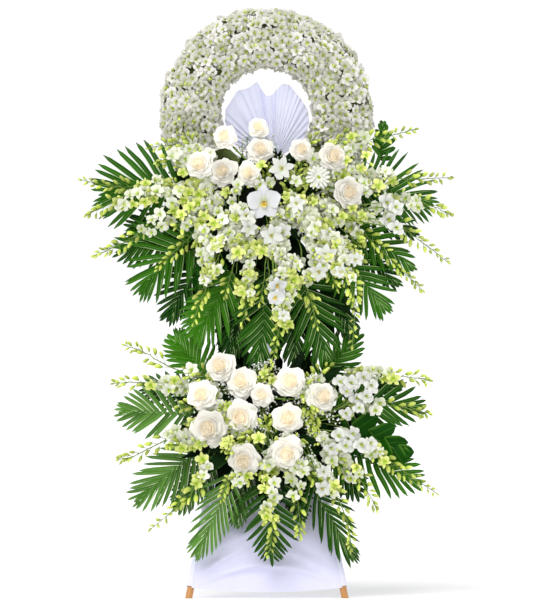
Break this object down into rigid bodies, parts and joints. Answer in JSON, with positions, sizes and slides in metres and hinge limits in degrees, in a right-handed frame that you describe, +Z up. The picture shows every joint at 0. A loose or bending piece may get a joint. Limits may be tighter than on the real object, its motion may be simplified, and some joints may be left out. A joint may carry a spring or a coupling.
{
  "type": "standing funeral flower spray",
  "caption": "Standing funeral spray: a wreath of white orchid florets with a gauze fan above tiers of palm fronds, orchids and roses on a cloth-wrapped bamboo tripod.",
  "frame": {"origin": "centre of the footprint, on the floor that the feet stand on", "axes": "+Z up, +X to the viewer's right, the flowered front faces -Y"},
  "size_m": [1.0868, 0.8293, 1.697],
  "materials": {
    "bamboo": "satin dried bamboo",
    "pole_wrap": "matt woven cloth",
    "lashing_band": "matt flat band",
    "skirt_cloth": "matt draped cloth",
    "gauze": "sheer pleated gauze",
    "ring_base": "matt light form under the florets",
    "ring_florets": "soft petals, lime at the throat",
    "floral_foam": "matt open-cell foam",
    "palm_frond": "satin green leaflets",
    "broad_leaf": "satin dark leaf",
    "green_orchid": "soft pale green-white petals and buds",
    "rose_petal": "soft cream petals",
    "white_petal": "soft white petals",
    "fine_filler": "tiny matt white heads"
  },
  "bodies": {
    "root": {"apex_lashing": "lashing_band", "bow": "gauze", "crossbar_lower": "bamboo", "crossbar_upper": "bamboo", "foam_lower": "floral_foam", "foam_upper": "floral_foam", "frond_lower_down_centre": "palm_frond", "frond_lower_down_left": "palm_frond", "frond_lower_down_right": "palm_frond", "frond_lower_left_1": "palm_frond", "frond_lower_left_2": "palm_frond", "frond_lower_left_3": "palm_frond", "frond_lower_right_1": "palm_frond", "frond_lower_right_2": "palm_frond", "frond_lower_right_3": "palm_frond", "frond_upper_down_centre": "palm_frond", "frond_upper_down_left": "palm_frond", "frond_upper_down_right": "palm_frond", "frond_upper_left_1": "palm_frond", "frond_upper_left_2": "palm_frond", "frond_upper_left_3": "palm_frond", "frond_upper_right_0": "palm_frond", "frond_upper_right_1": "palm_frond", "frond_upper_right_2": "palm_frond", "frond_upper_right_3": "palm_frond", "gypsophila_lower": "fine_filler", "gypsophila_upper": "fine_filler", "leaf_lobed_lower": "broad_leaf", "leaf_lobed_upper": "broad_leaf", "leg_back": "bamboo", "leg_left": "bamboo", "leg_right": "bamboo", "orchids_lower_down": "green_orchid", "orchids_lower_left": "green_orchid", "orchids_lower_right": "green_orchid", "orchids_upper_down_centre": "green_orchid", "orchids_upper_down_left": "green_orchid", "orchids_upper_down_right": "green_orchid", "orchids_upper_left": "green_orchid", "orchids_upper_right": "green_orchid", "ring_flowers_1": "ring_florets", "ring_flowers_2": "ring_florets", "ring_flowers_3": "ring_florets", "ring_flowers_4": "ring_florets", "ring_flowers_5": "ring_florets", "ring_form": "ring_base", "roses_lower_centre": "rose_petal", "roses_lower_left": "rose_petal", "roses_lower_right": "rose_petal", "roses_lower_top": "rose_petal", "roses_upper_left": "rose_petal", "roses_upper_right": "rose_petal", "roses_upper_top": "rose_petal", "skirt": "skirt_cloth", "white_blooms_lower": "white_petal", "white_blooms_upper": "white_petal", "white_blooms_upper_right": "white_petal", "wrap_back": "pole_wrap", "wrap_left": "pole_wrap", "wrap_right": "pole_wrap"}
  },
  "joints": []
}
